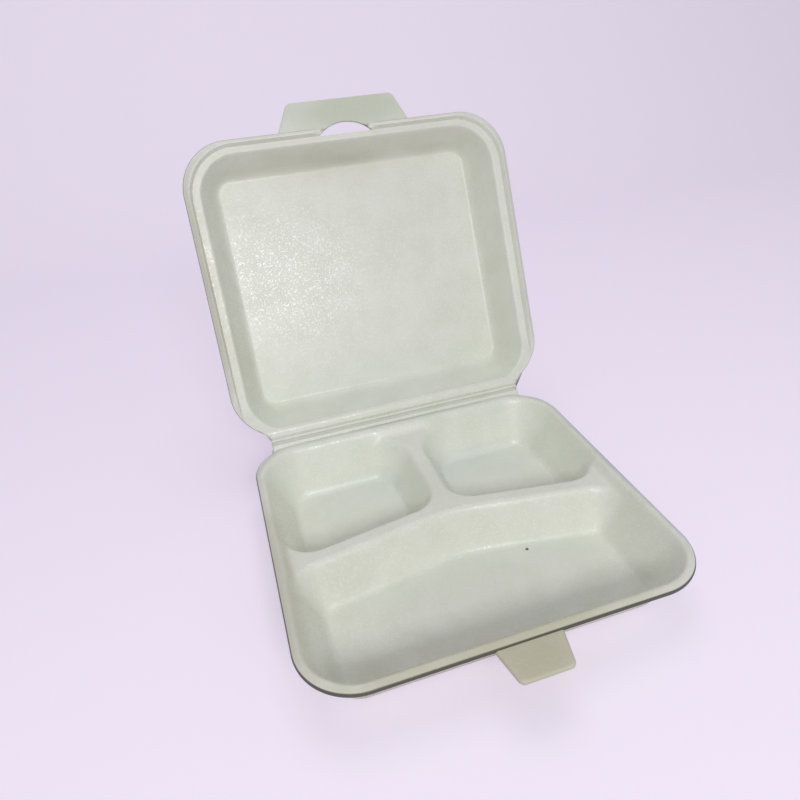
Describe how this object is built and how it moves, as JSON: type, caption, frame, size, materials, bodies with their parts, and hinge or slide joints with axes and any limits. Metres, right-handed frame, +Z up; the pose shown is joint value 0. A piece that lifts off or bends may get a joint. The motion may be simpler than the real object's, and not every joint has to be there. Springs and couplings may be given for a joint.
{
  "type": "foam clamshell container",
  "caption": "Open foam takeaway meal box: shallow tray with one wide and two small compartments, hinged domed lid, front tongue and lid tab with a slot.",
  "frame": {"origin": "on the flat foot under the tray's front compartment, where the box rests, on the plane of symmetry", "axes": "+Z up from the resting face, +Y from the front tongue towards the hinge, X along the hinge, the plane of symmetry is X = 0"},
  "size_m": [0.237, 0.3379, 0.248],
  "materials": {
    "tray_foam": "soft satin skin of expanded polystyrene foam with fine cells",
    "lid_foam": "soft satin skin of expanded polystyrene foam with fine cells"
  },
  "bodies": {
    "tray": {"tray": "tray_foam"},
    "lid": {"lid": "lid_foam"}
  },
  "joints": [
    {"name": "lid_hinge", "type": "hinge", "parent": "tray", "child": "lid", "pos_m": [0, 0.152, 0.03615], "axis": [1, 0, 0], "range_deg": [-65.5, 114.5]}
  ]
}
